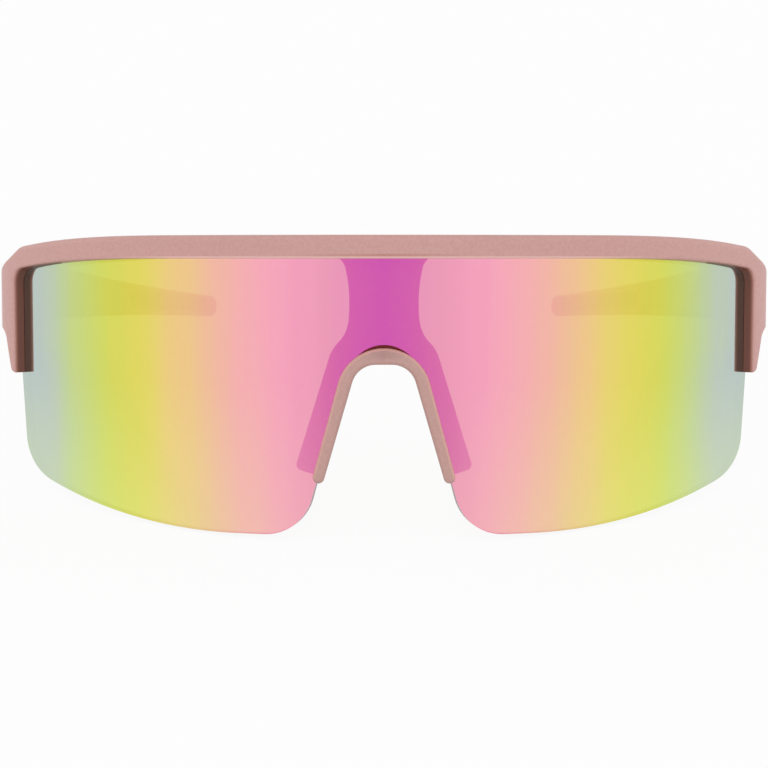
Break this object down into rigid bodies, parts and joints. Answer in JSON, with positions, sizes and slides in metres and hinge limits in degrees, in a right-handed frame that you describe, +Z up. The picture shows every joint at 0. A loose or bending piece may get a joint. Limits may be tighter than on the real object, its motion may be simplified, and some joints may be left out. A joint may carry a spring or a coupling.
{
  "type": "shield sunglasses",
  "caption": "Half-rim shield sunglasses with one curved mirrored lens hung in a brow frame, a nose bridge with soft pads and temples that fold on screw hinges.",
  "frame": {"origin": "on the table, at the centre of the bounding box's base", "axes": "+X to the wearer's left, +Y back along the temples, +Z up; the glasses stand open on the lens's lower edge and the two temple tips, so the front leans back"},
  "size_m": [0.1452, 0.1662, 0.0518],
  "materials": {
    "frame_plastic": "satin rose nylon",
    "temple_plastic": "satin rose nylon",
    "mirror_lens": "polished polycarbonate with a pink, gold and silver mirror coating",
    "pad_rubber": "soft matte rubber",
    "grip_rubber": "soft matte rubber",
    "hinge_metal": "satin stainless steel",
    "screw_metal": "turned stainless steel",
    "washer_nylon": "plain natural nylon"
  },
  "bodies": {
    "front": {"brow_frame": "frame_plastic", "shield_lens": "mirror_lens", "nose_bridge": "frame_plastic", "nose_pad_left": "pad_rubber", "nose_pad_right": "pad_rubber", "front_hinge_left": "hinge_metal", "front_hinge_right": "hinge_metal", "front_plate_screws_left": "screw_metal", "front_plate_screws_right": "screw_metal", "hinge_screw_left": "screw_metal", "hinge_screw_right": "screw_metal", "hinge_washers_left": "washer_nylon", "hinge_washers_right": "washer_nylon"},
    "temple_arm_left": {"temple_left": "temple_plastic", "temple_hinge_left": "hinge_metal", "temple_plate_screws_left": "screw_metal", "ear_grip_left": "grip_rubber"},
    "temple_arm_right": {"temple_right": "temple_plastic", "temple_hinge_right": "hinge_metal", "temple_plate_screws_right": "screw_metal", "ear_grip_right": "grip_rubber"}
  },
  "joints": [
    {"name": "left_temple_fold", "type": "hinge", "parent": "front", "child": "temple_arm_left", "pos_m": [0.0654, -0.0381, 0.03198], "axis": [0, 0.2009, 0.9796], "range_deg": [0, 84]},
    {"name": "right_temple_fold", "type": "hinge", "parent": "front", "child": "temple_arm_right", "pos_m": [-0.0654, -0.0381, 0.03198], "axis": [0, -0.2009, -0.9796], "range_deg": [0, 75]}
  ]
}
